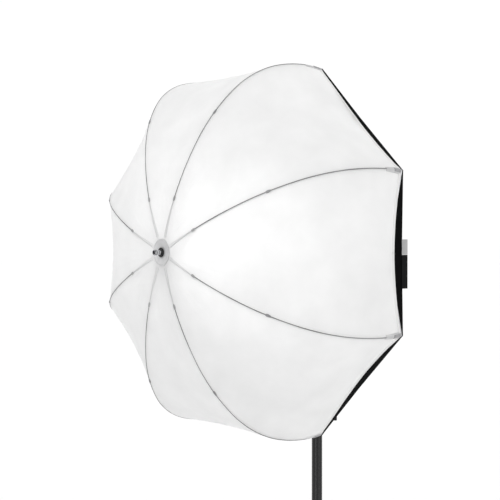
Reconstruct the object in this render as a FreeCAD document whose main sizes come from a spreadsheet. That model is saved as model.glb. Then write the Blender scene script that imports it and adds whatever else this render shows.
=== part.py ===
import FreeCAD, Part
import math
import os
import Sketcher
from FreeCAD import Placement, Rotation, Vector

# Umbrella softbox: a translucent dome on eight folding ribs, a dark rear cover, and the
# tilt bracket and upper stand column that carry it. Millimetres, +Z up, the dome faces -Y,
# and the origin is the centre of the column's lower end.

os.makedirs("parts", exist_ok=True)
doc = FreeCAD.newDocument("softbox")

SIZES = {
    # dome
    "rim_radius": 430, "rib_length": 614, "crown_dip": 7, "crown_turn": 24,
    "shoulder_turn": 21.5, "side_turn": 37, "skirt_turn": 24, "crown_share": 0.4,
    "span_share": 0.2, "cloth": 1.4, "cloth_gap": 0.3, "gore_sag": 0.02, "hem_rise": 15,
    # ribs and stretchers
    "rib_wire": 1.8, "rib_depth": 4.5, "eye_radius": 3, "eye_width": 2.2, "pin_radius": 1,
    "pin_clearance": 0.06, "pivot_radius": 18, "joint_share": 0.187, "tie_share": 0.509,
    "clip_radius": 2.8, "clip_length": 11, "joint_drop": 5.5, "strut_wire": 1.3,
    "strut_eye": 2.6, "tip_radius": 3, "lug_width": 1.8, "lug_length": 7, "lug_rise": 1.5, "side_play": 0.3,
    "pin_head": 1.9, "head_thick": 1,
    # shaft and hub
    "shaft_radius": 5, "shaft_wall": 1, "shaft_front": 318, "shaft_rear": 240,
    "fit": 0.06, "ferrule_radius": 5.6, "ferrule_front": 323, "ferrule_rear": 303.5,
    "ferrule_lip": 6.1, "ferrule_lip_length": 3,
    "notch_radius": 22, "notch_height": 8, "slot_width": 3.8, "notch_slot_root": 14.4,
    "pin_length": 9, "patch_inner": 6.6, "patch_outer": 32,
    "runner_place": 230, "runner_radius": 22, "runner_flange": 9, "runner_slot_root": 9.2,
    "sleeve_radius": 8.6, "sleeve_length": 34, "button_radius": 4, "button_height": 4.4,
    "button_stem": 1.6, "button_travel": 2, "cap_radius": 5.8, "cap_length": 14,
    # rear cover
    "mouth_radius": 118, "mouth_depth": 86, "cover_edge": 5.5, "band_rise": 17,
    "upper_label": 31, "lower_label": 68, "label_reach": 16, "label_top": 28,
    "label_thickness": 0.8, "ridge_drop": 2.2, "side_lap": 1, "side_drop": 3, "band_lean": 11,
    # column
    "column_setback": 145, "shaft_height": 700, "outer_radius": 12.5, "outer_wall": 1.2,
    "outer_length": 303, "neck_radius": 12.3, "inner_radius": 11, "inner_wall": 1.2,
    "inner_foot": 100, "inner_top": 604, "guide_length": 9, "collar_radius": 15,
    "collar_foot": 261, "collar_top": 326, "collar_ring": 13.8, "collar_ring_tall": 2.5,
    "barrel_flute": 0.9, "barrel_flutes": 28, "lug_reach": 24, "lug_thick": 13,
    "lug_corner": 277, "lug_shoulder": 313, "lug_slope": 34, "knob_height": 308,
    "knob_bearing": 45, "screw_radius": 3, "wing_height": 26, "wing_thick": 7,
    "wing_depth": 8.5, "wing_place": 39, "wing_tilt": 12,
    # bracket, measured from the shaft's line
    "spigot_radius": 7.75, "spigot_top": 55, "spigot_plug": 9.7, "plug_length": 34,
    "shoulder_height": 3, "block_width": 28, "block_depth": 28, "socket_top": 46,
    "socket_foot": 92, "socket_screw": 74, "tilt_drop": 30, "tilt_radius": 14, "ear_width": 12.7,
    "ear_gap": 0.3, "head_foot": 12, "head_top": 16, "bolt_radius": 4,
    "bolt_head": 7.6, "bolt_head_thick": 3.6, "lever_length": 58, "lever_hub": 8.5,
    "lever_width": 7, "lever_tall": 9, "lever_place": 14.4,
    "head_knob_radius": 10, "head_knob_height": 12, "socket_knob_radius": 12,
    "socket_knob_height": 14, "flute_radius": 2.2, "knob_gap": 2, "stud_radius": 7.94,
    "stud_length": 32, "stud_seat": 10, "groove_depth": 1.4, "stud_groove": 6,
    "stud_groove_place": 12, "spigot_groove": 8, "spigot_groove_place": 17, "web_short": 10,
    "ear_foot_gap": 2,
}
sheet = doc.addObject("Spreadsheet::Sheet", "Sizes")
for row, (word, number) in enumerate(SIZES.items(), start=1):
    sheet.set(f"A{row}", word)
    sheet.set(f"B{row}", str(number))
    sheet.setAlias(f"B{row}", word)
doc.recompute()


def size(word):
    return float(sheet.get(word))


def bound(thing, **properties):
    """Tie an object's properties to formulas on the sheet's cells."""
    for name, formula in properties.items():
        thing.setExpression(name, formula)
    return thing


RIBS = 8
HALF_GORE = math.pi / RIBS
SHAFT_FRAME = Placement(
    Vector(0, -size("column_setback"), size("shaft_height")), Rotation(Vector(1, 0, 0), -90)
)
DOME_FRAME = Placement(Vector(0, -size("column_setback"), size("shaft_height")), Rotation())
LIFT = size("shaft_height")
AXIS = Vector(0, 0, 1)
subparts = []


def finished(thing, label):
    thing.Label = label
    subparts.append(thing)
    return thing


def placed(thing, placement):
    thing.Placement = placement
    return thing


# ---- general pieces: primitives whose sizes follow the sheet ----

def rod(radius, length, place=None):
    """A cylinder along its own Z."""
    piece = doc.addObject("Part::Cylinder", "Rod")
    bound(piece, Radius=radius, Height=length)
    return placed(piece, place or Placement())


def block(width, depth, height, place=None):
    piece = doc.addObject("Part::Box", "Block")
    bound(piece, Length=width, Width=depth, Height=height)
    return placed(piece, place or Placement())


def joined(*pieces):
    union = doc.addObject("Part::MultiFuse", "Union")
    union.Shapes = list(pieces)
    union.Refine = True
    return union


def less(base, *tools):
    cut = doc.addObject("Part::Cut", "Cut")
    cut.Base = base
    cut.Tool = tools[0] if len(tools) == 1 else joined(*tools)
    return cut


def eased(base, radius):
    """Round the edges of a plain block."""
    doc.recompute()
    fillet = doc.addObject("Part::Fillet", "Eased")
    fillet.Base = base
    fillet.Edges = [(n + 1, radius, radius) for n in range(len(base.Shape.Edges))]
    return fillet


def up(distance, turn=None):
    return Placement(Vector(0, 0, distance), turn or Rotation())


def along_shaft(front):
    """A piece along the shaft that starts front millimetres ahead of the rim plane."""
    return SHAFT_FRAME.multiply(up(-front))


# ---- sketches for the machined and moulded pieces ----

def new_body(name):
    return doc.addObject("PartDesign::Body", name)


def sketch_on(body, role="XY_Plane"):
    sketch = body.newObject("Sketcher::SketchObject", "Sketch")
    plane = next(f for f in body.Origin.OriginFeatures if f.Role == role)
    sketch.AttachmentSupport = (plane, "")
    sketch.MapMode = "FlatFace"
    return sketch


def ruled(sketch, constraint, formula):
    number = sketch.addConstraint(constraint)
    sketch.setExpression(f"Constraints[{number}]", formula)


def draw_circle(sketch, word, formula=None):
    n = sketch.addGeometry(Part.Circle(Vector(), AXIS, size(word)))
    sketch.addConstraint(Sketcher.Constraint("Coincident", n, 3, -1, 1))
    ruled(sketch, Sketcher.Constraint("Radius", n, size(word)), formula or f"Sizes.{word}")


def draw_side_circle(sketch, word, reach):
    """A circle on the sketch's X axis, its centre at the value of reach."""
    n = sketch.addGeometry(Part.Circle(Vector(size(reach), 0, 0), AXIS, size(word)))
    sketch.addConstraint(Sketcher.Constraint("PointOnObject", n, 3, -1))
    ruled(sketch, Sketcher.Constraint("DistanceX", -1, 1, n, 3, size(reach)), f"Sizes.{reach}")
    ruled(sketch, Sketcher.Constraint("Radius", n, size(word)), f"Sizes.{word}")


def draw_slot(sketch, root, reach, width):
    """A rectangle across the sketch's X axis, from the value of root to that of reach."""
    low, high, half = size(root), size(reach), size(width) / 2
    corners = [Vector(low, -half, 0), Vector(high, -half, 0), Vector(high, half, 0),
               Vector(low, half, 0)]
    for n in range(4):
        sketch.addGeometry(Part.LineSegment(corners[n], corners[(n + 1) % 4]))
    for n in range(4):
        sketch.addConstraint(Sketcher.Constraint("Coincident", n, 2, (n + 1) % 4, 1))
    for n in (0, 2):
        sketch.addConstraint(Sketcher.Constraint("Horizontal", n))
    sketch.addConstraint(Sketcher.Constraint("Vertical", 1))
    sketch.addConstraint(Sketcher.Constraint("Symmetric", 0, 1, 2, 2, -1))
    ruled(sketch, Sketcher.Constraint("DistanceX", -1, 1, 0, 1, low), f"Sizes.{root}")
    ruled(sketch, Sketcher.Constraint("DistanceX", -1, 1, 0, 2, high), f"Sizes.{reach}")
    ruled(sketch, Sketcher.Constraint("DistanceY", 1, 1, 1, 2, 2 * half), f"Sizes.{width}")


def pad(body, sketch, length):
    feature = body.newObject("PartDesign::Pad", "Pad")
    feature.Profile = sketch
    return bound(feature, Length=length)


def pocket_through(body, sketch):
    feature = body.newObject("PartDesign::Pocket", "Pocket")
    feature.Profile = sketch
    feature.Type = "ThroughAll"
    feature.Midplane = True
    return feature


def repeated(body, feature, count):
    pattern = body.newObject("PartDesign::PolarPattern", "Pattern")
    pattern.Originals = [feature]
    pattern.Axis = (next(f for f in body.Origin.OriginFeatures if f.Role == "Z_Axis"), [""])
    pattern.Angle = 360
    pattern.Occurrences = count
    body.Tip = pattern
    return pattern


def slotted_disc(name, radius, height, slot_root, bore):
    """A disc with a bore and eight radial slots, along its own Z."""
    body = new_body(name)
    disc = sketch_on(body)
    draw_circle(disc, radius)
    pad(body, disc, height)
    hole = sketch_on(body)
    draw_circle(hole, bore, f"Sizes.{bore} + Sizes.fit")
    pocket_through(body, hole)
    slot = sketch_on(body)
    draw_slot(slot, slot_root, "rim_radius", "slot_width")
    repeated(body, pocket_through(body, slot), RIBS)
    return body


def fluted(name, radius, height, groove, flutes=8):
    """A round knob or barrel along its own Z, with flutes round its edge."""
    body = new_body(name)
    disc = sketch_on(body)
    draw_circle(disc, radius)
    pad(body, disc, height)
    flute = sketch_on(body)
    draw_side_circle(flute, groove, radius)
    repeated(body, pocket_through(body, flute), flutes)
    return body


# ---- the dome's curve: tangent arcs in a rib's plane, hub to rim ----

def rib_arcs():
    """Each arc's centre, radius, first heading and turn. The last arc ends at the rim."""
    crown, span = size("crown_share"), size("span_share")
    plan = [(crown, "crown_turn"), (span, "shoulder_turn"), (span, "side_turn"),
            (span, "skirt_turn")]
    heading, reach, depth, arcs = -math.radians(size("crown_dip")), 0.0, 0.0, []
    for share, word in plan:
        turn = math.radians(size(word))
        radius = share * size("rib_length") / turn
        centre = (reach - radius * math.sin(heading), depth + radius * math.cos(heading))
        arcs.append((centre, radius, heading, turn))
        heading += turn
        reach = centre[0] + radius * math.sin(heading)
        depth = centre[1] - radius * math.cos(heading)
    shift = (size("rim_radius") - reach, -depth)
    return [((c[0] + shift[0], c[1] + shift[1]), r, h, t) for c, r, h, t in arcs]


ARCS = rib_arcs()


def arc_point(arc, heading, sink, narrow=1.0):
    """A point of an arc, sunk inside the cloth's outer face, in the plane of a rib."""
    (across, forward), radius, _, _ = arc
    reach = across + (radius - sink) * math.sin(heading)
    return Vector(reach * narrow, forward - (radius - sink) * math.cos(heading), 0)


def heading_at(distance):
    """The arc, and the heading on it, at a distance along the rib from the hub."""
    for arc in ARCS:
        _, radius, first, turn = arc
        if distance <= radius * turn + 1e-6 or arc is ARCS[-1]:
            return arc, first + distance / radius
        distance -= radius * turn
    return None


def dome_edges(sink, narrow, start, stop):
    """Arc edges of the dome's curve between two distances along the rib."""
    edges, passed = [], 0.0
    for arc in ARCS:
        _, radius, first, turn = arc
        begin = max(start, passed)
        end = min(stop, passed + radius * turn)
        low, high = first + (begin - passed) / radius, first + (end - passed) / radius
        points = [arc_point(arc, low + (high - low) * step / 2, sink, narrow)
                  for step in range(3)]
        edges.append(Part.Arc(*points).toShape())
        passed += radius * turn
    return edges


def dome_place(distance, sink):
    arc, heading = heading_at(distance)
    return arc_point(arc, heading, sink), heading


def rib_frame(number):
    """The frame of a rib: its plane is the frame's XY plane."""
    angle = 22.5 + number * 360 / RIBS
    return DOME_FRAME.multiply(Placement(Vector(), Rotation(Vector(0, 1, 0), -angle)))


def feature(label, shape, placement):
    thing = doc.addObject("Part::Feature", label)
    thing.Shape = shape
    thing.Placement = placement
    return finished(thing, label)


def turned_section(wire, angle, shift=0.0):
    """Swing a rib plane wire about the shaft's line, then move it across its plane."""
    swung = wire.copy()
    swung.translate(Vector(0, 0, shift))
    swung.rotate(Vector(), Vector(0, 1, 0), -math.degrees(angle))
    return swung


def closed_wire(points):
    return Part.makePolygon([*points, points[0]])


# ---- ribs, stretchers, canopy and rear cover ----

def crossing(centre, radius, low, high):
    """A short round piece across a rib's plane."""
    return Part.makeCylinder(radius, high - low, Vector(centre.x, centre.y, low), AXIS)


def sleeve_on_rib(distance):
    centre, heading = dome_place(distance, size("rib_depth"))
    way = Vector(math.cos(heading), math.sin(heading), 0)
    length = size("clip_length")
    return Part.makeCylinder(size("clip_radius"), length, centre - way * (length / 2), way)


PIVOT, _ = dome_place(0, size("rib_depth"))
START = size("pivot_radius") - PIVOT.x
PIVOT, _ = dome_place(START, size("rib_depth"))
JOINT, JOINT_HEADING = dome_place(
    size("joint_share") * size("rib_length"), size("rib_depth") + size("joint_drop")
)
RUNNER_END = Vector(size("pivot_radius"), -size("runner_place"), 0)
EYE_HALF = size("eye_width") / 2
BORE = size("pin_radius") + size("pin_clearance")
PUNCH = 4  # half the length of a tool that cuts an eye's bore


def rib_shape():
    length = size("rib_length")
    path = Part.Wire(dome_edges(size("rib_depth"), 1.0, START, length))
    _, heading = dome_place(START, size("rib_depth"))
    way = Vector(math.cos(heading), math.sin(heading), 0)
    ring = Part.Wire(Part.makeCircle(size("rib_wire"), PIVOT, way))
    wire = path.makePipeShell([ring], True, False)
    tip, _ = dome_place(length, size("rib_depth"))
    side, head = EYE_HALF + size("side_play"), size("head_thick")
    low = -side - size("lug_width")
    lug = Part.makeBox(size("lug_length"), size("joint_drop") + size("lug_rise"), size("lug_width"),
                       Vector(-size("lug_length") / 2, -size("joint_drop"), low))
    lug.rotate(Vector(), AXIS, math.degrees(JOINT_HEADING))
    lug.translate(JOINT)
    pieces = [
        crossing(PIVOT, size("eye_radius"), -EYE_HALF, EYE_HALF),
        Part.makeSphere(size("tip_radius"), tip),
        sleeve_on_rib(size("joint_share") * length),
        sleeve_on_rib(size("tie_share") * length),
        lug,
        crossing(JOINT, size("pin_radius"), low, side + head),
        crossing(JOINT, size("pin_head"), side, side + head),
    ]
    whole = wire.multiFuse(pieces)
    return whole.cut(crossing(PIVOT, BORE, -PUNCH, PUNCH)).removeSplitter()


def stretcher_shape():
    way = RUNNER_END - JOINT
    bar = Part.makeCylinder(size("strut_wire"), way.Length, JOINT, way)
    ends = (JOINT, RUNNER_END)
    eyes = [crossing(end, size("strut_eye"), -EYE_HALF, EYE_HALF) for end in ends]
    bores = [crossing(end, BORE, -PUNCH, PUNCH) for end in ends]
    return bar.multiFuse(eyes).cut(bores).removeSplitter()


def canopy_wire(narrow, stop):
    cloth, start = size("cloth"), 1.0
    outer = dome_edges(0, narrow, start, stop)
    inner = dome_edges(cloth, narrow, start, stop)
    first, last = outer[0].Vertexes[0].Point, outer[-1].Vertexes[-1].Point
    far, near = inner[-1].Vertexes[-1].Point, inner[0].Vertexes[0].Point
    ends = [Part.makeLine(last, far), Part.makeLine(near, first)]
    return Part.Wire([*outer, ends[0], *reversed(inner), ends[1]])


def canopy_shape():
    """One eighth of the dome's cloth: a ridge over the rib, falling to both mid-gore lines."""
    length, gap = size("rib_length"), size("cloth_gap") / 2
    narrow = math.cos(HALF_GORE) * (1 - size("gore_sag"))
    side = canopy_wire(narrow, length - size("hem_rise"))
    ridge = canopy_wire(1.0, length)
    sections = [turned_section(side, -HALF_GORE, gap), ridge,
                turned_section(side, HALF_GORE, -gap)]
    return Part.makeLoft(sections, True, True)


def cover_wire(edge_reach, band, edge, mouth):
    """Rear cover section: a band at the rim, then a slope back to the mouth."""
    cloth, deep = size("cloth"), size("mouth_depth")
    return closed_wire([
        Vector(*band, 0), Vector(edge_reach, edge, 0), Vector(mouth, deep, 0),
        Vector(mouth, deep - cloth, 0), Vector(edge_reach - cloth, edge - cloth, 0),
        Vector(band[0] - cloth, band[1], 0),
    ])


def cover_shape():
    cloth, gap, edge = size("cloth"), size("cloth_gap") / 2, size("cover_edge")
    corner = size("rim_radius") + cloth
    flat = size("rim_radius") * math.cos(HALF_GORE)
    ridge = cover_wire(corner, (corner, edge - size("ridge_drop")), edge, size("mouth_radius"))
    side = cover_wire(flat + size("side_lap"),
                      (flat - size("band_lean"), -size("band_rise")),
                      edge - size("side_drop"), size("mouth_radius") * math.cos(HALF_GORE))
    sections = [turned_section(side, -HALF_GORE, gap), ridge,
                turned_section(side, HALF_GORE, -gap)]
    return Part.makeLoft(sections, True, True)


rib, stretcher, canopy, cover = rib_shape(), stretcher_shape(), canopy_shape(), cover_shape()
for number in range(RIBS):
    frame = rib_frame(number)
    feature(f"rib_{number + 1}", rib, frame)
    feature(f"stretcher_{number + 1}", stretcher, frame)
    feature(f"canopy_panel_{number + 1}", canopy, frame)
    feature(f"rear_cover_panel_{number + 1}", cover, frame)


# ---- shaft, hub and runner ----

def make_shaft():
    tube = rod("Sizes.shaft_radius", "Sizes.shaft_front + Sizes.shaft_rear")
    hollow = rod("Sizes.shaft_radius - Sizes.shaft_wall",
                 "Sizes.shaft_front + Sizes.shaft_rear")
    finished(placed(less(tube, hollow), along_shaft(size("shaft_front"))), "shaft_tube")

    cap = joined(
        rod("Sizes.cap_radius", "Sizes.cap_length"),
        rod("Sizes.shaft_radius - Sizes.shaft_wall - Sizes.fit", "Sizes.cap_length",
            up(-size("cap_length"))),
    )
    finished(placed(cap, along_shaft(-size("shaft_rear") - 0.1)), "shaft_end_cap")

    length = "Sizes.ferrule_front - Sizes.ferrule_rear"
    sleeve = joined(rod("Sizes.ferrule_radius", length),
                    rod("Sizes.ferrule_lip", "Sizes.ferrule_lip_length"))
    ferrule = less(sleeve, rod("Sizes.shaft_radius + Sizes.fit", length))
    finished(placed(ferrule, along_shaft(size("ferrule_front"))), "ferrule")


def make_notch():
    middle = -PIVOT.y
    notch = slotted_disc("Notch", "notch_radius", "Sizes.notch_height", "notch_slot_root",
                         "shaft_radius")
    turn = Placement(Vector(), Rotation(AXIS, -22.5))
    front = middle + 1.4
    finished(placed(notch, along_shaft(front).multiply(turn)), "rib_notch")
    pins = []
    for number in range(RIBS):
        place = rib_frame(number).multiply(
            Placement(PIVOT - AXIS * (size("pin_length") / 2), Rotation()))
        pins.append(rod("Sizes.pin_radius", "Sizes.pin_length", place))
    finished(joined(*pins), "rib_pivot_pins")


def make_patch():
    """The sewn reinforcement over the dome's centre, a shallow cone like the cloth under it."""
    dip = math.tan(math.radians(size("crown_dip")))
    low, high = size("patch_inner"), size("patch_outer")
    crown = dome_place(0, 0)[0]
    base = crown.y - size("cloth_gap")
    near = base - (low - crown.x) * dip
    far = base - (high - crown.x) * dip
    outline = closed_wire([Vector(low, near, 0), Vector(high, far, 0),
                           Vector(high, far - 1, 0), Vector(low, near - 1, 0)])
    patch = Part.Face(outline).revolve(Vector(), Vector(0, 1, 0), 360)
    feature("hub_patch", patch, DOME_FRAME)


def make_runner():
    """The runner slides on the shaft and pushes the ribs open through the stretchers."""
    disc = slotted_disc("RunnerFlange", "runner_radius", "Sizes.runner_flange",
                        "runner_slot_root", "shaft_radius")
    tube = less(
        rod("Sizes.sleeve_radius", "Sizes.sleeve_length"),
        rod("Sizes.shaft_radius + Sizes.fit", "Sizes.sleeve_length"),
        rod("Sizes.button_stem + Sizes.fit", "Sizes.sleeve_radius * 2",
            Placement(Vector(0, 0, size("sleeve_length") * 0.7),
                      Rotation(Vector(1, 0, 0), 90))),
    )
    placed(disc, Placement(Vector(), Rotation(AXIS, -22.5)))
    runner = joined(disc, tube)
    front = size("runner_place") + size("runner_flange") / 2
    finished(placed(runner, along_shaft(front)), "runner")

    button = joined(
        rod("Sizes.button_radius", "Sizes.button_height"),
        rod("Sizes.button_stem", "Sizes.button_travel + 1.2",
            up(-size("button_travel") - 1.2)),
    )
    rise = size("sleeve_radius") + size("button_travel") + 0.2
    place = Placement(
        Vector(0, -front + size("sleeve_length") * 0.7, rise), Rotation())
    finished(placed(button, DOME_FRAME.multiply(place)), "runner_release_button")


make_shaft()
make_notch()
make_patch()
make_runner()


# ---- tilt bracket ----

def bracket_place(x=0.0, y=0.0, z=0.0, turn=None):
    """A place in the bracket, measured from where the shaft's line meets the column's."""
    return Placement(Vector(x, y, LIFT + z), turn or Rotation())


ALONG_X = Rotation(Vector(0, 1, 0), 90)
ALONG_MINUS_X = Rotation(Vector(0, 1, 0), -90)
ALONG_Y = Rotation(Vector(1, 0, 0), -90)


def ear(side):
    """One half of the tilt joint: a disc and the web that joins it to its block."""
    low = size("ear_gap") if side > 0 else -size("ear_gap") - size("ear_width")
    drop, radius = size("tilt_drop"), size("tilt_radius")
    disc = rod("Sizes.tilt_radius", "Sizes.ear_width", bracket_place(low, 0, -drop, ALONG_X))
    foot = -drop if side > 0 else -size("socket_top") - size("ear_foot_gap")
    web = block("Sizes.ear_width", "Sizes.tilt_radius * 2", "Sizes.tilt_drop - Sizes.web_short",
                bracket_place(low, -radius, foot))
    return [disc, web]


def lock_groove(word):
    """The ring that a lock screw's groove takes out of a stud or spigot."""
    place = up(size(f"{word}_groove_place"))
    return less(rod(f"Sizes.{word}_radius + 1", f"Sizes.{word}_groove", place),
                rod(f"Sizes.{word}_radius - Sizes.groove_depth", f"Sizes.{word}_groove", place))


def make_bracket():
    wide, deep, drop = size("block_width"), size("block_depth"), size("tilt_drop")
    bolt_hole = rod("Sizes.bolt_radius + Sizes.fit", "Sizes.block_width * 2",
                    bracket_place(-wide, 0, -drop, ALONG_X))
    socket_block = eased(block(
        "Sizes.block_width", "Sizes.block_depth", "Sizes.socket_foot - Sizes.socket_top",
        bracket_place(-wide / 2, -deep / 2, -size("socket_foot"))), 2.5)
    socket_screw = rod("Sizes.screw_radius + Sizes.fit", "Sizes.block_depth",
                       bracket_place(0, 0, -size("socket_screw"), ALONG_Y))
    bore = rod("Sizes.spigot_radius + Sizes.fit", "Sizes.socket_foot - Sizes.spigot_top + 1",
               bracket_place(0, 0, -size("socket_foot")))
    socket = less(joined(socket_block, *ear(-1)), bolt_hole, socket_screw, bore)
    finished(socket, "bracket_socket")

    head_block = eased(block(
        "Sizes.block_width", "Sizes.block_depth + 2", "Sizes.head_foot + Sizes.head_top",
        bracket_place(-wide / 2, -deep / 2 - 1, -size("head_foot"))), 2.5)
    shaft_bore = rod("Sizes.shaft_radius + Sizes.fit", "Sizes.block_depth * 2",
                     bracket_place(0, -deep, 0, ALONG_Y))
    clamp_screw = rod("Sizes.screw_radius + Sizes.fit", "Sizes.block_width",
                      bracket_place(0, 0, 0, ALONG_MINUS_X))
    stud_bore = rod("Sizes.screw_radius + Sizes.fit", "Sizes.stud_seat",
                    bracket_place(0, 0, size("head_top") - size("stud_seat") + 1))
    head = less(joined(head_block, *ear(1)), bolt_hole, shaft_bore, clamp_screw, stud_bore)
    finished(head, "bracket_head")

    span = "Sizes.ear_width * 2 + Sizes.ear_gap * 2 + 14"
    start = -size("ear_gap") - size("ear_width") - 4
    bolt = joined(
        rod("Sizes.bolt_radius", span, bracket_place(start, 0, -drop, ALONG_X)),
        rod("Sizes.bolt_head", "Sizes.bolt_head_thick",
            bracket_place(start - 0.1, 0, -drop, ALONG_X)),
    )
    finished(bolt, "tilt_bolt")

    out, tall = size("lever_place"), size("lever_tall")
    hub = rod("Sizes.lever_hub", "Sizes.lever_width", bracket_place(out, 0, -drop, ALONG_X))
    bar = eased(block("Sizes.lever_width", "Sizes.lever_length", "Sizes.lever_tall",
                      bracket_place(out, 0, -drop - tall / 2)), 2.4)
    lever_bore = rod("Sizes.bolt_radius + Sizes.fit", "Sizes.block_width",
                     bracket_place(0, 0, -drop, ALONG_X))
    finished(less(joined(hub, bar), lever_bore), "tilt_lever")

    stud = joined(
        rod("Sizes.stud_radius", "Sizes.stud_length"),
        rod("Sizes.screw_radius", "Sizes.stud_seat", up(-size("stud_seat") + 1.4)),
    )
    finished(placed(less(stud, lock_groove("stud")),
                    bracket_place(0, 0, size("head_top") + 0.1)), "lamp_stud")


def make_knob(label, radius, height, reach, tip, turn, at_height):
    """A fluted knob on a clamp screw that points at the part it holds."""
    grip = fluted(label.title().replace("_", ""), radius, f"Sizes.{height}", "flute_radius")
    placed(grip, up(reach))
    stem = rod("Sizes.screw_radius", str(reach - tip), up(tip))
    knob = joined(grip, stem)
    finished(placed(knob, bracket_place(0, 0, at_height, turn)), label)


make_bracket()
make_knob("shaft_clamp_knob", "head_knob_radius", "head_knob_height",
          size("block_width") / 2 + size("knob_gap"), size("shaft_radius") + 0.4,
          ALONG_MINUS_X, 0)
make_knob("socket_lock_knob", "socket_knob_radius", "socket_knob_height",
          size("block_depth") / 2 + size("knob_gap"), size("spigot_radius") + 0.3,
          ALONG_Y, -size("socket_screw"))


# ---- column ----

def make_column():
    outer = less(joined(rod("Sizes.outer_radius", "Sizes.collar_foot"),
                        rod("Sizes.neck_radius", "Sizes.outer_length")),
                 rod("Sizes.outer_radius - Sizes.outer_wall", "Sizes.outer_length"))
    finished(outer, "column_outer_tube")

    run = "Sizes.inner_top - Sizes.inner_foot"
    inner = less(rod("Sizes.inner_radius", run), rod("Sizes.inner_radius - Sizes.inner_wall", run))
    finished(placed(inner, up(size("inner_foot"))), "column_inner_tube")

    guide = joined(
        rod("Sizes.outer_radius - Sizes.outer_wall - Sizes.fit", "Sizes.guide_length",
            up(-size("guide_length") - 0.1)),
        rod("Sizes.inner_radius - Sizes.inner_wall - Sizes.fit", "Sizes.guide_length * 2",
            up(-size("guide_length"))),
    )
    finished(placed(guide, up(size("inner_foot"))), "column_guide_bush")

    spigot = less(joined(
        rod("Sizes.spigot_plug", "Sizes.plug_length", up(-size("plug_length"))),
        rod("Sizes.inner_radius", "Sizes.shoulder_height", up(0.1)),
        rod("Sizes.spigot_radius",
            "Sizes.shaft_height - Sizes.spigot_top - Sizes.inner_top"),
    ), lock_groove("spigot"))
    finished(placed(spigot, up(size("inner_top"))), "column_spigot")


def make_collar():
    """The clamp collar: a fluted barrel, a split lug with sloped ends, and its T screw."""
    bearing = Rotation(AXIS, size("knob_bearing"))
    foot, ring = size("collar_foot"), size("collar_ring_tall")
    reach, thick, slope = size("lug_reach"), size("lug_thick"), size("lug_slope")
    barrel = fluted("CollarBarrel", "collar_radius",
                    "Sizes.collar_top - Sizes.collar_foot - Sizes.collar_ring_tall",
                    "barrel_flute", int(size("barrel_flutes")))
    placed(barrel, up(foot + ring))
    seat = rod("Sizes.collar_ring", "Sizes.collar_ring_tall * 2", up(foot))
    lug = block("Sizes.lug_reach", "Sizes.lug_thick", "Sizes.collar_top - Sizes.collar_foot",
                Placement(Vector(0, -thick / 2, foot), Rotation()))
    slopes = []
    for corner, turn in (("lug_corner", slope), ("lug_shoulder", -slope)):
        place = Placement(Vector(reach, -thick, size(corner)), Rotation(Vector(0, 1, 0), turn))
        across = "Sizes.lug_reach * 2"
        slopes.append(block(across, "Sizes.lug_thick * 2", across,
                            place.multiply(Placement(Vector(0, 0, -reach), Rotation()))))
    screw_hole = rod("Sizes.screw_radius + Sizes.fit", "Sizes.lug_reach + 5",
                     Placement(Vector(0, 0, size("knob_height")), ALONG_X))
    tall = "Sizes.collar_top - Sizes.collar_foot"
    low_bore = rod("Sizes.neck_radius + Sizes.fit",
                   "Sizes.outer_length - Sizes.collar_foot + 0.3", up(foot))
    high_bore = rod("Sizes.inner_radius + Sizes.fit", tall, up(foot))
    collar = less(joined(barrel, seat, less(lug, *slopes)), screw_hole, low_bore, high_bore)
    finished(placed(collar, Placement(Vector(), bearing)), "column_collar")

    screw = rod("Sizes.screw_radius", "Sizes.wing_place - Sizes.inner_radius",
                up(size("inner_radius") + 0.4))
    wing = eased(block("Sizes.wing_height", "Sizes.wing_thick", "Sizes.wing_depth",
                       Placement(Vector(-size("wing_height") / 2, -size("wing_thick") / 2,
                                        size("wing_place")), Rotation())), 2.4)
    boss = rod("Sizes.screw_radius * 1.8", "Sizes.wing_depth", up(size("wing_place") - 4))
    handle = joined(screw, boss, wing)
    turn = bearing.multiply(ALONG_X).multiply(Rotation(AXIS, size("wing_tilt")))
    finished(placed(handle, Placement(Vector(0, 0, size("knob_height")), turn)),
             "column_lock_handle")


def make_labels():
    """Two blank cloth labels caught in the rear cover's edge seam, on the +X side."""
    seam = Vector(size("rim_radius") * math.cos(HALF_GORE) + 1.6, size("cover_edge") - 4, 0)
    top = size("label_top")
    for label, word in (("upper_blank_label", "upper_label"),
                        ("lower_blank_label", "lower_label")):
        tag = block("Sizes.label_thickness", "Sizes.label_reach", f"Sizes.{word} - 0.5")
        place = DOME_FRAME.multiply(
            Placement(seam + Vector(0, 0, top - size(word)), Rotation()))
        finished(placed(tag, place), label)
        top -= size(word)


make_column()
make_collar()
make_labels()

doc.recompute()
for thing in doc.Objects:
    state = getattr(thing, "State", [])
    if "Invalid" in state or "Error" in state:
        raise RuntimeError(f"{thing.Label} did not recompute: {state}")
for thing in subparts:
    shape = thing.Shape
    if shape.isNull() or not shape.isValid() or not shape.Solids:
        raise RuntimeError(f"{thing.Label} has no valid solid")
    shape.exportStep(f"parts/{thing.Label}.step")
    print(f"{thing.Label}: {len(shape.Solids)} solids, {shape.Volume / 1000:.2f} cm3")
print(len(subparts), "nodes; pivot", PIVOT, "joint", JOINT, "runner end", RUNNER_END)
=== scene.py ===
import math

import bmesh
import bpy
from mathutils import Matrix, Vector, noise


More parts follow.
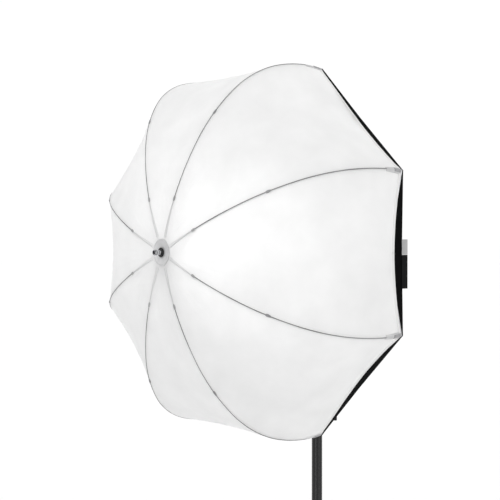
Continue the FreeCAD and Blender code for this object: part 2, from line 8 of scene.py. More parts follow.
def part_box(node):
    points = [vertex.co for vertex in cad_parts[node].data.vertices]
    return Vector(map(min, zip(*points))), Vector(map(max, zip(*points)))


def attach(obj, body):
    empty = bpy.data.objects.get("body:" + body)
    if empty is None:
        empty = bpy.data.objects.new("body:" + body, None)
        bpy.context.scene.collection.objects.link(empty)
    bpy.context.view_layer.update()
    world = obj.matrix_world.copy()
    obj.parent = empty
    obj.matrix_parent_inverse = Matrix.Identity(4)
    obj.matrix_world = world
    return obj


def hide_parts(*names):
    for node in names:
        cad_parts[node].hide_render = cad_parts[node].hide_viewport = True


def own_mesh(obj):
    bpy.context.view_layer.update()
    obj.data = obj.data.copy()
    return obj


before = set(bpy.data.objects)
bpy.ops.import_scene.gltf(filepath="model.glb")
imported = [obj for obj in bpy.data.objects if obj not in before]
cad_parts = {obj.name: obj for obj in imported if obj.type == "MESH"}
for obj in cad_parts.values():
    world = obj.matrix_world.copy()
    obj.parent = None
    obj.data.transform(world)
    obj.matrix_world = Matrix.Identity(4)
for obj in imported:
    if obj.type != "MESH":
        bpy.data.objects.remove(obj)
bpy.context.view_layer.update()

# ---- the dome's size and place, as the CAD model has them ----
MM = 0.001
RIBS = 8
HALF = math.pi / RIBS
FIRST_RIB = math.radians(22.5)
DOME = Vector((0, -145 * MM, 700 * MM))
RIM = 430 * MM
RIB_LENGTH = 614 * MM
CROWN_DIP = math.radians(7)
ARCS = [(0.4, 24), (0.2, 21.5), (0.2, 37), (0.2, 24)]
MOUTH = 118 * MM
MOUTH_DEPTH = 86 * MM
TACKS = (0.187, 0.509)

# ---- the hem of each gore: how deep its scallop is, and how far it leans ----
HEM_RISE = [9 * MM, 13 * MM, 13 * MM, 14 * MM, 13 * MM, 14 * MM, 17 * MM, 20 * MM]
HEM_SKEW = [0.9, 0, 0, 0, 0, 0, -0.8, 0]

# ---- how the cloth is cut, and how much of its width is left when the dome is folded ----
CROWN_KEEP, SKIRT_KEEP, COVER_KEEP = 0.86, 0.57, 0.2
HUB_SHARE, ZONE_SHARE = 0.004, 0.5
# name, first and last share of the rib, flat width, width kept
ZONES = (("crown", HUB_SHARE, ZONE_SHARE, 225 * MM, CROWN_KEEP),
         ("skirt", ZONE_SHARE, 1.0, 340 * MM, SKIRT_KEEP))
BAND_EDGE = 0.14
# name, first and last share of the cover, rows, body, width kept, flat size
COVER_PARTS = (("cover_band", 0.0, BAND_EDGE, 8, "rib", SKIRT_KEEP, (340 * MM, 26 * MM)),
               ("rear_cover", BAND_EDGE, 1.0, 60, "cover", COVER_KEEP, (330 * MM, 330 * MM)))


# ---- small helpers ----

def between(low, high, x):
    """0 below low, 1 above high, and smooth between them."""
    x = max(0.0, min(1.0, (x - low) / (high - low)))
    return x * x * (3 - 2 * x)


def spoke(angle):
    return Vector((math.cos(angle), 0, math.sin(angle)))


def rib_angle(number):
    return FIRST_RIB + number * 2 * HALF


def from_rib(angle):
    """Signed angle from the nearest rib."""
    return (angle - FIRST_RIB + HALF) % (2 * HALF) - HALF


def mesh_object(name, points, faces, materials, smooth=True, uv=None, picks=None):
    mesh = bpy.data.meshes.new(name)
    mesh.from_pydata([tuple(p) for p in points], [], faces)
    for material in materials:
        mesh.materials.append(material)
    for face in mesh.polygons:
        face.use_smooth = smooth
        if picks:
            face.material_index = picks[face.index]
    if uv:
        layer = mesh.uv_layers.new(name="UVMap")
        for loop in mesh.loops:
            layer.data[loop.index].uv = uv[loop.vertex_index]
    mesh.update()
    thing = bpy.data.objects.new(name, mesh)
    bpy.context.scene.collection.objects.link(thing)
    return thing


def grid_faces(columns, rows, start=0, flip=False):
    faces = []
    for j in range(rows):
        for i in range(columns):
            a = start + j * (columns + 1) + i
            quad = (a, a + 1, a + columns + 2, a + columns + 1)
            faces.append(quad[::-1] if flip else quad)
    return faces


def sweep(name, rings, material):
    """A closed body through rings of points, capped at both ends."""
    size = len(rings[0])
    points = [p for ring in rings for p in ring]
    faces = []
    for j in range(len(rings) - 1):
        for i in range(size):
            a, b = j * size + i, j * size + (i + 1) % size
            faces.append((a, b, b + size, a + size))
    faces.append(tuple(reversed(range(size))))
    faces.append(tuple(range(len(points) - size, len(points))))
    made = mesh_object(name, points, faces, [material])
    sort_normals(made)
    return made


def sort_normals(thing):
    work = bmesh.new()
    work.from_mesh(thing.data)
    bmesh.ops.recalc_face_normals(work, faces=work.faces)
    work.to_mesh(thing.data)
    work.free()


def joined(name, things):
    """One object from several meshes."""
    work = bmesh.new()
    material = things[0].data.materials[0]
    for thing in things:
        work.from_mesh(thing.data)
        bpy.data.objects.remove(thing)
    mesh = bpy.data.meshes.new(name)
    work.to_mesh(mesh)
    work.free()
    mesh.materials.append(material)
    made = bpy.data.objects.new(name, mesh)
    bpy.context.scene.collection.objects.link(made)
    return made


# ---- materials ----

class Nodes:
    """A short way to wire a material's nodes."""

    def __init__(self, name):
        self.material = bpy.data.materials.new(name)
        self.material.use_nodes = True
        self.tree = self.material.node_tree
        self.tree.nodes.clear()
        self.out = self.add("ShaderNodeOutputMaterial")

    def add(self, kind, **inputs):
        node = self.tree.nodes.new(kind)
        for key, value in inputs.items():
            if key.startswith("_"):
                setattr(node, key[1:], value)
            else:
                self.put(node, key.replace("__", " "), value)
        return node

    def put(self, node, socket, value):
        if isinstance(value, bpy.types.NodeSocket):
            self.tree.links.new(value, node.inputs[socket])
        else:
            node.inputs[socket].default_value = value

    def noise(self, scale, detail=4.0):
        coords = self.add("ShaderNodeTexCoord").outputs["Object"]
        node = self.add("ShaderNodeTexNoise", Vector=coords, Scale=scale, Detail=detail,
                        Roughness=0.5)
        return node.outputs["Fac"]

    def ramp(self, factor, low, high, at=(0.3, 0.7)):
        node = self.add("ShaderNodeValToRGB", Fac=factor)
        node.color_ramp.elements[0].position, node.color_ramp.elements[1].position = at
        node.color_ramp.elements[0].color = (*low, 1)
        node.color_ramp.elements[1].color = (*high, 1)
        return node.outputs["Color"]

    def level(self, factor, low, high):
        node = self.add("ShaderNodeMapRange", Value=factor)
        node.inputs["To Min"].default_value = low
        node.inputs["To Max"].default_value = high
        return node.outputs["Result"]

    def bump(self, height, strength, distance, normal=None):
        node = self.add("ShaderNodeBump", Height=height, Strength=strength, Distance=distance)
        if normal:
            self.put(node, "Normal", normal)
        return node.outputs["Normal"]

    def weave(self, spacing):
        """Two sets of threads crossing, from the UV map, which is in metres."""
        uv = self.add("ShaderNodeTexCoord").outputs["UV"]
        sets = []
        for way in ("X", "Y"):
            sets.append(self.add("ShaderNodeTexWave", Vector=uv, Scale=0.31831 / spacing / 2,
                                 _bands_direction=way).outputs["Fac"])
        return self.both(*sets)

    def both(self, first, second):
        node = self.add("ShaderNodeMath", _operation="MAXIMUM")
        self.tree.links.new(first, node.inputs[0])
        self.tree.links.new(second, node.inputs[1])
        return node.outputs[0]

    def surface(self, shader):
        self.tree.links.new(shader, self.out.inputs["Surface"])
        return self.material


def translucent_cloth(name, colour, spacing, share=0.5, shade=0.94):
    """Thin nylon: a share of the light goes through, the rest is scattered back."""
    n = Nodes(name)
    dark = tuple(c * shade for c in colour)
    tint = n.ramp(n.noise(14.0), dark, colour)
    crease = n.bump(n.noise(30.0, 5.0), 0.25, 0.6 * MM)
    normal = n.bump(n.weave(spacing), 0.3, 0.0001, crease)
    front = n.add("ShaderNodeBsdfPrincipled", **{"Base__Color": tint, "Normal": normal})
    front.inputs["Roughness"].default_value = 0.6
    front.inputs["Sheen Weight"].default_value = 0.15
    front.inputs["Specular IOR Level"].default_value = 0.3
    through = n.add("ShaderNodeBsdfTranslucent", Color=tint, Normal=normal)
    mixed = n.add("ShaderNodeMixShader")
    mixed.inputs[0].default_value = share
    n.tree.links.new(front.outputs[0], mixed.inputs[1])
    n.tree.links.new(through.outputs[0], mixed.inputs[2])
    return n.surface(mixed.outputs[0])


def woven(name, colour, spacing, rough=0.75, shade=0.7, sheen=0.3, depth=0.0002, gloss=0.5):
    """Close woven opaque cloth or webbing."""
    n = Nodes(name)
    dark = tuple(c * shade for c in colour)
    tint = n.ramp(n.noise(60.0), dark, colour)
    normal = n.bump(n.weave(spacing), 0.5, depth, n.bump(n.noise(25.0, 4.0), 0.3, 0.001))
    cloth = n.add("ShaderNodeBsdfPrincipled", **{"Base__Color": tint, "Normal": normal})
    n.put(cloth, "Roughness", n.level(n.noise(90.0), rough - 0.08, rough + 0.08))
    cloth.inputs["Specular IOR Level"].default_value = gloss
    cloth.inputs["Sheen Weight"].default_value = sheen
    cloth.inputs["Sheen Roughness"].default_value = 0.4
    return n.surface(cloth.outputs[0])


def silver_lining(name):
    """The creased metal coat on the inside of the rear cover."""
    n = Nodes(name)
    tint = n.ramp(n.noise(40.0), (0.62, 0.62, 0.64), (0.82, 0.82, 0.84))
    normal = n.bump(n.weave(0.9 * MM), 0.4, 0.0001, n.bump(n.noise(55.0, 6.0), 0.5, 0.0015))
    foil = n.add("ShaderNodeBsdfPrincipled", **{"Base__Color": tint, "Normal": normal})
    foil.inputs["Metallic"].default_value = 0.85
    n.put(foil, "Roughness", n.level(n.noise(70.0), 0.34, 0.5))
    return n.surface(foil.outputs[0])


def metal(name, colour, rough, metallic=1.0, grain=180.0, gloss=0.5):
    """Metal, or with no metallic share a coat of paint on it, with a finely worn surface."""
    n = Nodes(name)
    scratch = 0.08
    dark = tuple(c * 0.85 for c in colour)
    tint = n.ramp(n.noise(grain * 0.4), dark, colour)
    normal = n.bump(n.noise(grain * 4, 3.0), 0.08, 0.0002)
    body = n.add("ShaderNodeBsdfPrincipled", **{"Base__Color": tint, "Normal": normal})
    body.inputs["Metallic"].default_value = metallic
    n.put(body, "Roughness", n.level(n.noise(grain), rough - scratch / 2, rough + scratch))
    body.inputs["Specular IOR Level"].default_value = gloss
    return n.surface(body.outputs[0])


def chrome_with_painted_reflections(name, front, back, bands):
    """Turned chrome with dark bands at given shares of its length, which are painted
    reflections.
    """
    n = Nodes(name)
    # The dark band colour is a painted reflection on the chrome.
    chrome, dark_reflection = (0.8, 0.81, 0.83, 1), (0.01, 0.01, 0.011, 1)
    depth = n.add("ShaderNodeSeparateXYZ", Vector=n.add("ShaderNodeTexCoord").outputs["Object"])
    along = n.add("ShaderNodeMapRange", Value=depth.outputs["Y"])
    along.inputs["From Min"].default_value = front
    along.inputs["From Max"].default_value = back
    tint = n.add("ShaderNodeValToRGB", Fac=along.outputs["Result"])
    ramp = tint.color_ramp
    ramp.interpolation = "CONSTANT"
    ramp.elements[0].color = chrome
    ramp.elements[1].position = 1
    ramp.elements[1].color = chrome
    for start, stop in bands:
        ramp.elements.new(start).color = dark_reflection
        ramp.elements.new(stop).color = chrome
    normal = n.bump(n.noise(500.0, 3.0), 0.05, 0.0002)
    body = n.add("ShaderNodeBsdfPrincipled",
                 **{"Base__Color": tint.outputs["Color"], "Normal": normal})
    body.inputs["Metallic"].default_value = 0.9
    n.put(body, "Roughness", n.level(n.noise(120.0), 0.06, 0.14))
    return n.surface(body.outputs[0])


def moulded(name, colour, rough=0.5):
    """Moulded plastic with a fine spark-eroded grain, a little polished by handling."""
    n = Nodes(name)
    light = tuple(min(1.0, c * 1.6 + 0.006) for c in colour)
    tint = n.ramp(n.noise(45.0), colour, light, (0.35, 0.85))
    normal = n.bump(n.noise(900.0, 2.0), 0.25, 0.3 * MM)
    body = n.add("ShaderNodeBsdfPrincipled", **{"Base__Color": tint, "Normal": normal})
    n.put(body, "Roughness", n.level(n.noise(30.0), rough - 0.1, rough + 0.1))
    body.inputs["Specular IOR Level"].default_value = 0.25
    return n.surface(body.outputs[0])


WHITE_CLOTH = translucent_cloth("white_nylon", (0.93, 0.93, 0.925), 0.8 * MM, 0.5)
# The seam tape's grey is painted shade: the rib's shadow seen through the cloth.
SEAM_TAPE_AND_RIB_SHADE = translucent_cloth("seam_tape_and_rib_shade", (0.42, 0.42, 0.43), 0.6 * MM, 0.35, 0.35)
# The stitch rows, a little darker than the cloth, are painted shade of the stretchers seen
# through it.
STITCH_AND_STRETCHER_SHADE = translucent_cloth("stitch_rows_and_stretcher_shade", (0.9, 0.9, 0.905), 0.6 * MM, 0.4, 0.8)
HEM_CLOTH = translucent_cloth("hem_tape", (0.95, 0.95, 0.945), 0.6 * MM, 0.3)
# The tacks' greys are painted shade: the ties' shadows seen through the cloth.
TACK_AND_SHADOW_DARK = translucent_cloth("tack_thread_and_shadow", (0.5, 0.5, 0.51), 0.5 * MM, 0.4, 0.6)
TACK_AND_SHADOW_PALE = translucent_cloth("tack_pale_and_shadow", (0.64, 0.64, 0.645), 0.5 * MM, 0.4, 0.7)
POCKET_CLOTH = translucent_cloth("pocket_mesh", (0.84, 0.84, 0.845), 0.9 * MM, 0.4, 0.85)
TAB_WEBBING = woven("tab_webbing", (0.36, 0.36, 0.37), 1.1 * MM, depth=0.0005)
PATCH_CLOTH = translucent_cloth("grey_patch", (0.9, 0.9, 0.905), 1.0 * MM, 0.4, 0.82)
BLACK_CLOTH = woven("black_nylon", (0.0035, 0.0035, 0.0038), 0.9 * MM, 0.5, 0.5, 0.006,
                    gloss=0.045)
SILVER = silver_lining("silver_lining")
THREAD = woven("sewing_thread", (0.7, 0.7, 0.7), 0.3 * MM)
RIB_PAINT = metal("rib_paint", (0.36, 0.36, 0.37), 0.45, metallic=0.2)
WIRE_STEEL = metal("wire_steel", (0.6, 0.6, 0.61), 0.3, grain=400.0)
SHAFT_METAL = metal("shaft_metal", (0.7, 0.7, 0.72), 0.32, grain=250.0)
# The ferrule's dark bands are painted reflections on the chrome.
FERRULE_PAINTED_REFLECTIONS = chrome_with_painted_reflections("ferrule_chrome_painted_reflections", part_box("ferrule")[0].y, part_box("ferrule")[1].y,
                        ((0.0, 0.09), (0.2, 0.28), (0.5, 0.56)))
BRASS = metal("brass", (0.72, 0.55, 0.28), 0.3, grain=200.0)
TUBE_BLACK = metal("tube_black", (0.008, 0.008, 0.0085), 0.24, metallic=0.0, gloss=0.28)
CAST_BLACK = metal("cast_black", (0.012, 0.012, 0.013), 0.5, metallic=0.0, grain=700.0,
                   gloss=0.3)
BLACK_PLASTIC = moulded("black_plastic", (0.009, 0.009, 0.0095))
LABEL_LIGHT = woven("label_light", (0.42, 0.42, 0.42), 0.4 * MM, shade=0.85)
LABEL_DARK = woven("label_dark", (0.006, 0.006, 0.0065), 0.4 * MM, sheen=0.0, gloss=0.1)


# ---- the dome's surface ----

def rib_arcs():
    """Tangent arcs from hub to rim: centre, radius, first heading, turn."""
    heading, reach, depth, arcs = -CROWN_DIP, 0.0, 0.0, []
    for share, degrees in ARCS:
        turn = math.radians(degrees)
        radius = share * RIB_LENGTH / turn
        centre = (reach - radius * math.sin(heading), depth + radius * math.cos(heading))
        arcs.append((centre, radius, heading, turn))
        heading += turn
        reach = centre[0] + radius * math.sin(heading)
        depth = centre[1] - radius * math.cos(heading)
    return [((c[0] + RIM - reach, c[1] - depth), r, h, t) for c, r, h, t in arcs]


CURVE = rib_arcs()


def curve(share):
    """Reach from the shaft, depth from the rim plane and heading, at a share of a rib."""
    distance = share * RIB_LENGTH
    for centre, radius, first, turn in CURVE:
        if distance <= radius * turn or (centre, radius, first, turn) == CURVE[-1]:
            heading = first + distance / radius
            return (centre[0] + radius * math.sin(heading),
                    centre[1] - radius * math.cos(heading), heading)
        distance -= radius * turn


def scallop(angle):
    """How far the canopy's edge rises between two tips."""
    place = (angle - FIRST_RIB) / (2 * HALF)
    gore, along = int(math.floor(place)) % RIBS, place - math.floor(place)
    lean = 1 + HEM_SKEW[gore] * (1 - 2 * along)
    return HEM_RISE[gore] * 4 * along * (1 - along) * lean


def dome_point(share, angle):
    """A point of the canopy's outer face. Between ribs the cloth pulls flat and a little in."""
    off = from_rib(angle)
    middle = abs(off) / HALF
    bow = middle * (2 - middle)
    share *= 1 - scallop(angle) / RIB_LENGTH
    reach, depth, heading = curve(share)
    reach *= math.cos(HALF) / math.cos(HALF - abs(off))
    sag = (1 * MM + 7 * MM * math.sin(math.pi * min(1, share))) * between(0, 0.25, share) * bow
    sag += pucker(share, angle, middle) * between(1.0, 0.93, share)
    return DOME + spoke(angle) * (reach - sag * math.sin(heading)) + Vector(
        (0, depth + sag * math.cos(heading), 0))


def pucker(share, angle, middle):
    """Slack in the cloth: soft swells, and pulls that run along the ribs and to the tips."""
    across_ribs = Vector((math.cos(angle) * 9, math.sin(angle) * 9, share * 2.2))
    swell = noise.noise(Vector((math.cos(angle) * 2.5, math.sin(angle) * 2.5, share * 4)))
    pull = noise.noise(across_ribs * 1.6)
    inside = between(0.0, 0.18, middle) * between(0.03, 0.2, share)
    rim = between(0.72, 1.0, share)
    return inside * (1.6 * MM * swell + (0.5 + 1.3 * rim) * MM * pull)


def dome_normal(share, angle):
    step = 0.002
    low, high = max(0.0, share - step), min(1.0, share + step)
    along = dome_point(high, angle) - dome_point(low, angle)
    round_it = dome_point(share, angle + step * 2) - dome_point(share, angle - step * 2)
    return along.cross(round_it).normalized() * -1


def outward(share, angle):
    normal = dome_normal(share, angle)
    inner = spoke(angle) * -1 + Vector((0, 1, 0))
    return normal if normal.dot(inner) < 0 else normal * -1


def fold_with(thing, number, body):
    """Ride on a body, with a mesh of its own."""
    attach(thing, f"{body}_{number + 1}")
    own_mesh(thing)


def canopy_panel(number, columns=44, rows=48):
    """A rib's cloth, in a crown piece and a skirt piece."""
    angle = rib_angle(number)
    for word, first, last, width, keep in ZONES:
        points, normals, uv = [], [], []
        for j in range(rows + 1):
            share = first + (last - first) * j / rows
            for i in range(columns + 1):
                a = angle + HALF * (2 * i / columns - 1)
                points.append(dome_point(share, a))
                normals.append(outward(share, a))
                uv.append(((a - angle) * curve(share)[0], share * RIB_LENGTH))
        cloth = mesh_object(f"canopy_{word}_{number + 1}", points, grid_faces(columns, rows),
                            [WHITE_CLOTH], uv=uv)
        if cloth.data.polygons[columns * rows // 2].normal.dot(normals[len(normals) // 2]) < 0:
            cloth.data.flip_normals()
        cloth.data.normals_split_custom_set_from_vertices([tuple(n) for n in normals])
        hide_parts(f"canopy_panel_{number + 1}")
        fold_with(cloth, number, "rib")


def seam(number):
    """The felled seam over a rib: one tight roll, and two open rows of it near the hub. The roll
    is painted grey for the rib's shadow through the cloth, and the rows are a little darker than
    the cloth for the stretchers' shadows: painted shade.
    """
    angle = rib_angle(number)

    def roll(name, start, stop, steps, half_width, spread, material):
        rings = []
        for j in range(steps + 1):
            share = start + (stop - start) * j / steps
            centre = spread * (1 - j / steps) / curve(share)[0]
            turn = half_width / curve(share)[0]
            normal = outward(share, angle)
            ring = []
            for place, lift in ((-1, -0.3), (-0.55, 0.5), (0, 0.7), (0.55, 0.5), (1, -0.3),
                                (0, -0.7)):
                ring.append(dome_point(share, angle + centre + turn * place)
                            + normal * lift * MM)
            rings.append(ring)
        tape = sweep(name, rings, material)
        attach(tape, f"rib_{number + 1}")

    roll(f"rib_seam_{number + 1}", TACKS[0], 0.995, 80, 1.1 * MM, 0, SEAM_TAPE_AND_RIB_SHADE)
    for side, word in ((-1, "a"), (1, "b")):
        roll(f"rib_stitch_{number + 1}_{word}", 0.047, TACKS[0], 24, 0.5 * MM,
             side * 3.4 * MM, STITCH_AND_STRETCHER_SHADE)


def tacks(number, length=13 * MM, half_width=3.0 * MM):
    """The sewn tacks that tie the cloth to the rib, at its stretcher joint and halfway out.
    Their pale and dark greys are painted shade: the shadows of the ties inside, seen through the
    cloth.
    """
    angle = rib_angle(number)
    for station, word, cloth in zip(TACKS, "ab", (TACK_AND_SHADOW_PALE, TACK_AND_SHADOW_DARK)):
        rings = []
        for j in range(11):
            place = 2 * j / 10 - 1
            share = station + place * length / 2 / RIB_LENGTH
            wide = half_width * math.sqrt(max(0.04, 1 - place ** 2))
            normal = outward(share, angle)
            ring = []
            for k in range(12):
                turn = k * math.tau / 12
                side = wide * math.cos(turn) / curve(share)[0]
                rise = 0.5 * MM + math.sin(turn) * wide * 0.45
                ring.append(dome_point(share, angle + side) + normal * rise)
            rings.append(ring)
        tack = sweep(f"rib_tack_{number + 1}_{word}", rings, cloth)
        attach(tack, f"rib_{number + 1}")


def hem(number, steps=40, width=7 * MM):
    """The tape folded over the scalloped edge of the canopy."""
    angle = rib_angle(number)
    rings = []
    for j in range(steps + 1):
        a = angle + HALF * (2 * j / steps - 1)
        edge = dome_point(1, a)
        normal = outward(1, a)
        back = (dome_point(1 - width / RIB_LENGTH, a) - edge).normalized()
        ring = []
        for along, lift in ((width, 0.1 * MM), (width * 0.95, 0.8 * MM),
                            (0.3 * MM, 0.8 * MM), (-0.7 * MM, 0), (0.3 * MM, -0.8 * MM),
                            (width * 0.95, -0.8 * MM), (width, -0.1 * MM)):
            ring.append(edge + back * along + normal * lift)
        rings.append(ring)
    tape = sweep(f"canopy_hem_{number + 1}", rings, HEM_CLOTH)
    fold_with(tape, number, "rib")


def pocket(number):
    """The sewn pocket over a rib's tip, with a webbing tab in its end."""
    angle = rib_angle(number)

    def patch(name, start, half_width, lift, taper, material):
        rings = []
        for j in range(13):
            share = start + (1.0 - start) * j / 12
            wide = half_width * (taper + (1 - taper) * j / 12)
            normal = outward(min(share, 0.999), angle)
            ring = []
            for place in (-1, -0.8, -0.4, 0, 0.4, 0.8, 1, 0.8, 0.4, 0, -0.4, -0.8):
                top = len(ring) < 7
                rise = lift if top and abs(place) < 0.9 else -0.2 * MM
                turn = wide * place / curve(share)[0]
                ring.append(dome_point(share, angle + turn) + normal * rise)
            rings.append(ring)
        piece = sweep(name, rings, material)
        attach(piece, f"rib_{number + 1}")

    patch(f"tip_pocket_{number + 1}", 0.925, 8 * MM, 1.0 * MM, 0.6, POCKET_CLOTH)
    patch(f"tip_tab_{number + 1}", 0.965, 5 * MM, 1.9 * MM, 0.9, TAB_WEBBING)


# ---- the rear cover ----

def cover_profile(t, plane):
    """Reach and depth down the cover, t from 0 at its front edge to 1 at its mouth."""
    front, edge, mouth = plane
    if t < BAND_EDGE:
        x = t / BAND_EDGE
        return front[0] + (edge[0] - front[0]) * x, front[1] + (edge[1] - front[1]) * x
    x = (t - BAND_EDGE) / (1 - BAND_EDGE)
    return edge[0] + (mouth[0] - edge[0]) * x, edge[1] + (mouth[1] - edge[1]) * x


RIB_PLANE = ((431.4 * MM, 3.3 * MM), (431.4 * MM, 5.5 * MM), (MOUTH, MOUTH_DEPTH))
FLAT = RIM * math.cos(HALF)
MID_PLANE = ((FLAT - 11 * MM, -22 * MM), (FLAT + 1 * MM, 2.5 * MM),
             (MOUTH * math.cos(HALF), MOUTH_DEPTH))


def cover_point(t, angle):
    off = from_rib(angle)
    middle = abs(off) / HALF
    rib = angle - off
    low, high = cover_profile(t, RIB_PLANE), cover_profile(t, MID_PLANE)
    turn = rib + math.copysign(HALF, off)
    place = (spoke(rib) * low[0] + Vector((0, low[1], 0))) * (1 - middle)
    place += (spoke(turn) * high[0] + Vector((0, high[1], 0))) * middle
    slack = math.sin(math.pi * between(0.1, 1.0, t)) * middle * (2 - middle)
    fold = noise.noise(Vector((math.cos(angle) * 14, math.sin(angle) * 14, t * 2.0)))
    swell = noise.noise(Vector((math.cos(angle) * 3, math.sin(angle) * 3, t * 3 + 7)))
    calm = between(BAND_EDGE, 0.3, t)
    shift = -5 * MM * slack + calm * (2.2 * MM * fold * between(0.3, 1.0, t) + 2.5 * MM * swell)
    shift += 2 * MM * between(0.75, 1.0, t)
    return DOME + place + Vector((0, shift, 0))


def cover_normal(t, angle):
    step = 0.004
    along = cover_point(min(1, t + step), angle) - cover_point(max(0, t - step), angle)
    round_it = cover_point(t, angle + step) - cover_point(t, angle - step)
    normal = along.cross(round_it).normalized()
    out = spoke(angle) + Vector((0, 1, 0))
    return normal if normal.dot(out) > 0 else normal * -1


def cover_panel(number, columns=36, thick=0.7 * MM):
    """The black cover, silver inside, and the band in front of its hinge line."""
    angle = rib_angle(number)
    for word, start, stop, rows, body, keep, flat in COVER_PARTS:
        outer, inner, uv = [], [], []
        for j in range(rows + 1):
            t = start + (stop - start) * j / rows
            for i in range(columns + 1):
                a = angle + HALF * (2 * i / columns - 1)
                point, normal = cover_point(t, a), cover_normal(t, a)
                outer.append(point)
                inner.append(point - normal * thick)
                uv.append(((a - angle) * 0.3, t * 0.34))
        count = len(outer)
        faces = grid_faces(columns, rows) + grid_faces(columns, rows, count, True)
        picks = [0] * (columns * rows) + [1] * (columns * rows)
        border = list(range(columns + 1))
        border += [(j + 1) * (columns + 1) - 1 for j in range(1, rows + 1)]
        border += [rows * (columns + 1) + i for i in reversed(range(columns))]
        border += [j * (columns + 1) for j in reversed(range(1, rows))]
        for n, a in enumerate(border):
            b = border[(n + 1) % len(border)]
            faces.append((b, a, a + count, b + count))
            picks.append(0)
        cloth = mesh_object(f"{word}_{number + 1}", outer + inner, faces,
                            [BLACK_CLOTH, SILVER], uv=uv + uv, picks=picks)
        sort_normals(cloth)
        cloth.data.set_sharp_from_angle(angle=math.radians(50))
        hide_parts(f"rear_cover_panel_{number + 1}")
        fold_with(cloth, number, body)


def mouth_hem(number, steps=24, radius=3.2 * MM):
    """The elastic hem gathered round the cover's mouth."""
    angle = rib_angle(number)
    rings = []
    for j in range(steps + 1):
        a = angle + HALF * (2 * j / steps - 1)
        centre = cover_point(1, a) + Vector((0, 2.4 * MM, 0))
        wave = 1 + 0.22 * noise.noise(Vector((math.cos(a) * 22, math.sin(a) * 22, 3)))
        ring = []
        for k in range(10):
            turn = k * math.tau / 10
            ring.append(centre + spoke(a) * math.cos(turn) * radius * wave
                        + Vector((0, math.sin(turn) * radius * wave, 0)))
        rings.append(ring)
    roll = sweep(f"mouth_hem_{number + 1}", rings, BLACK_CLOTH)
    fold_with(roll, number, "cover")


# ---- hub ----

def stitches(name, places, size=0.45 * MM):
    """Short rods of thread from one place of each pair to the other."""
    made = []
    for number, (start, end) in enumerate(places):
        way = (end - start).normalized()
        side = way.orthogonal().normalized()
        other = way.cross(side)
        rings = []
        for place, grow in ((0, 0.35), (0.2, 1), (0.8, 1), (1, 0.35)):
            centre = start + (end - start) * place
            ring = [centre + (side * math.cos(k * math.tau / 6)
                              + other * math.sin(k * math.tau / 6)) * size * grow
                    for k in range(6)]
            rings.append(ring)
        made.append(sweep(f"{name}_{number}", rings, THREAD))
    return joined(name, made)


def hub_patch():
    """A round woven patch with a bound edge, sewn over the dome's centre."""
    inner, outer = 6.8 * MM, 29 * MM
    base = min(v.co.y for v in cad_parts["hub_patch"].data.vertices)
    dip = math.tan(CROWN_DIP)
    rows, columns = 14, 72
    rings_out, rings_in = [], []
    for i in range(columns):
        a = i * math.tau / columns
        top, under = [], []
        for j in range(rows + 1):
            reach = inner + (outer - inner) * j / rows
            rise = (outer - reach) * dip
            edge = 0.8 * MM * (between(0.86, 0.9, j / rows) - between(0.99, 1.0, j / rows))
            ripple = 0.25 * MM * math.cos(RIBS * (a - FIRST_RIB)) * j / rows
            spot = Vector((reach * math.cos(a), 0, DOME.z + reach * math.sin(a)))
            top.append(spot + Vector((0, base + rise - edge - ripple, 0)))
            under.append(spot + Vector((0, base + rise + 0.9 * MM - ripple, 0)))
        rings_out.append(top)
        rings_in.append(list(reversed(under)))
    size = 2 * (rows + 1)
    points = [p for top, under in zip(rings_out, rings_in) for p in top + under]
    faces = []
    for i in range(columns):
        a0, b0 = i * size, (i + 1) % columns * size
        for k in range(size):
            l = (k + 1) % size
            faces.append((a0 + k, a0 + l, b0 + l, b0 + k))
    patch = mesh_object("centre_patch", points, faces, [PATCH_CLOTH])
    sort_normals(patch)
    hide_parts("hub_patch")
    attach(patch, "shaft")
    places = []
    for reach in (12 * MM, 26.5 * MM):
        count = int(math.tau * reach / (3.2 * MM))
        for k in range(count):
            spots = []
            for a in (k * math.tau / count, (k + 0.62) * math.tau / count):
                rise = base + (outer - reach) * dip - 0.35 * MM
                spots.append(Vector((reach * math.cos(a), rise, DOME.z + reach * math.sin(a))))
            places.append(spots)
    thread = stitches("patch_stitches", places)
    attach(thread, "shaft")


def lathe(name, profile, centre, material, columns=48):
    """A turned ring about the shaft's axis, from a closed outline of reach and depth."""
    points, faces, size = [], [], len(profile)
    for i in range(columns):
        way = spoke(i * math.tau / columns)
        points += [centre + way * reach + Vector((0, depth, 0)) for reach, depth in profile]
    for i in range(columns):
        a, b = i * size, (i + 1) % columns * size
        faces += [(a + k, a + (k + 1) % size, b + (k + 1) % size, b + k) for k in range(size)]
    ring = mesh_object(name, points, faces, [material])
    sort_normals(ring)
    ring.data.set_sharp_from_angle(angle=math.radians(40))
    return ring


def ferrule_washer():
    """The black washer that clamps the patch under the ferrule, with a rounded rim."""
    low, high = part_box("hub_patch")
    sleeve_low, sleeve_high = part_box("ferrule")
    bore = (sleeve_high[0] - sleeve_low[0]) / 2 + 0.05 * MM
    rim, tall, seat = bore + 4.2 * MM, 2.6 * MM, low[1] + 1.0 * MM
    outline = [(bore, seat), (rim - 0.6 * MM, seat), (rim, seat - 0.7 * MM),
               (rim, seat - tall + 0.9 * MM), (rim - 0.9 * MM, seat - tall), (bore, seat - tall)]
    centre = Vector((0, 0, DOME.z))
    washer = lathe("ferrule_washer", outline, centre, BLACK_PLASTIC)
    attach(washer, "shaft")


# ---- CAD pieces that keep their shape ----

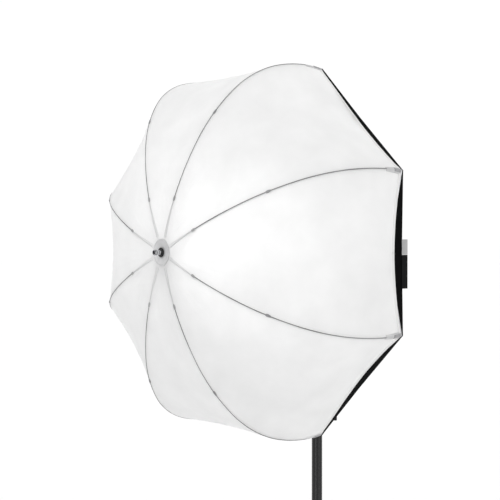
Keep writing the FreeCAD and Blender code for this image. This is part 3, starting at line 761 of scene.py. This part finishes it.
FINISHES = {
    "rib_": RIB_PAINT, "stretcher_": WIRE_STEEL, "rib_pivot_pins": WIRE_STEEL,
    "rib_notch": BLACK_PLASTIC, "shaft_tube": SHAFT_METAL, "shaft_end_cap": BLACK_PLASTIC,
    "ferrule": FERRULE_PAINTED_REFLECTIONS, "runner": BLACK_PLASTIC, "runner_release_button": BLACK_PLASTIC,
    "bracket_": CAST_BLACK, "tilt_bolt": WIRE_STEEL, "tilt_lever": BLACK_PLASTIC,
    "lamp_stud": BRASS, "shaft_clamp_knob": BLACK_PLASTIC, "socket_lock_knob": BLACK_PLASTIC,
    "column_outer_tube": TUBE_BLACK, "column_inner_tube": TUBE_BLACK,
    "column_guide_bush": BLACK_PLASTIC, "column_spigot": BRASS,
    "column_collar": BLACK_PLASTIC, "column_lock_handle": BLACK_PLASTIC,
    "upper_blank_label": LABEL_LIGHT, "lower_blank_label": LABEL_DARK,
}


def finish_cad_nodes():
    for name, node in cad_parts.items():
        match = max((k for k in FINISHES if name.startswith(k)), key=len, default=None)
        if match:
            node.data.materials.clear()
            node.data.materials.append(FINISHES[match])


# ---- stage ----

LAMP_PLACE = DOME + Vector((0.0, -0.05, 0.07))
BEAM_WAY = Vector((0.72, -0.66, -0.21))
BEAM_ANGLE = math.radians(84)
STRIP_AIM = Vector((0, 0, 0.2))
STRIP_SIZE = (0.12, 1.4)


def stage():
    """A pale floor, an even white surround, the lamp in the dome, a key and two strips."""
    world = bpy.data.worlds.new("studio")
    world.use_nodes = True
    world.node_tree.nodes["Background"].inputs["Color"].default_value = (1, 1, 1, 1)
    world.node_tree.nodes["Background"].inputs["Strength"].default_value = 1.02
    bpy.context.scene.world = world

    floor_drop, floor_size = 0.75, 60
    floor = mesh_object("floor", [(x * floor_size, y * floor_size, -floor_drop)
                                  for x, y in ((-1, -1), (1, -1), (1, 1), (-1, 1))],
                        [(0, 1, 2, 3)], [woven("floor_paper", (0.995, 0.995, 0.995), 5 * MM,
                                               0.9, 0.995, 0.0)], smooth=False)

    head_lamp("lamp", "POINT", 1.0)
    beam = head_lamp("lamp_beam", "SPOT", 1.5)
    beam.data.spot_size, beam.data.spot_blend = BEAM_ANGLE, 1.0
    beam.rotation_euler = BEAM_WAY.to_track_quat("-Z", "Y").to_euler()

    area_light("key", DOME + Vector((1.6, -2.2, 1.8)), DOME, (1.6, 1.6), 3)
    stand = bpy.data.collections.new("stand_parts")
    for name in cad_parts:
        if name.startswith(("column_", "bracket_", "socket_")):
            stand.objects.link(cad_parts[name])
    for name, place, energy in (("strip_left", (0.55, -1.5, 0.2), 5),
                                ("strip_right", (1.45, 0.1, 0.2), 3)):
        strip = area_light(name, Vector(place), STRIP_AIM, STRIP_SIZE, energy)
        strip.light_linking.receiver_collection = stand


def head_lamp(name, kind, energy):
    """A light on the bracket's head, inside the dome. It moves with the head."""
    lamp = bpy.data.lights.new(name, kind)
    lamp.energy = energy
    lamp.shadow_soft_size = 0.05
    bulb = bpy.data.objects.new(name, lamp)
    bpy.context.scene.collection.objects.link(bulb)
    bulb.location = LAMP_PLACE
    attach(bulb, "head")
    return bulb


def area_light(name, place, target, size, energy):
    light = bpy.data.lights.new(name, "AREA")
    light.shape = "RECTANGLE"
    light.size, light.size_y = size
    light.energy = energy
    made = bpy.data.objects.new(name, light)
    bpy.context.scene.collection.objects.link(made)
    made.location = place
    made.rotation_euler = (target - place).to_track_quat("-Z", "Y").to_euler()
    return made


def camera():
    azimuth, elevation, distance, lens = math.radians(49.4), math.radians(0.59), 2.3117, 72.4
    back = Vector((math.sin(azimuth) * math.cos(elevation),
                   -math.cos(azimuth) * math.cos(elevation), math.sin(elevation)))
    right = Vector((math.cos(azimuth), math.sin(azimuth), 0))
    aim_left, aim_up = 0.0483, 0.0035
    data = bpy.data.cameras.new("camera")
    data.lens = lens
    data.sensor_width = 36
    data.clip_start = 0.05
    view = bpy.data.objects.new("camera", data)
    bpy.context.scene.collection.objects.link(view)
    view.location = DOME + back * distance
    target = DOME - right * aim_left + Vector((0, 0, aim_up))
    view.rotation_mode = "QUATERNION"
    view.rotation_quaternion = (target - view.location).to_track_quat("-Z", "Y")
    bpy.context.scene.camera = view


for number in range(RIBS):
    canopy_panel(number)
    seam(number)
    tacks(number)
    hem(number)
    pocket(number)
    cover_panel(number)
    mouth_hem(number)
hub_patch()
ferrule_washer()
finish_cad_nodes()
stage()
camera()
bpy.context.scene.view_settings.view_transform = "Standard"
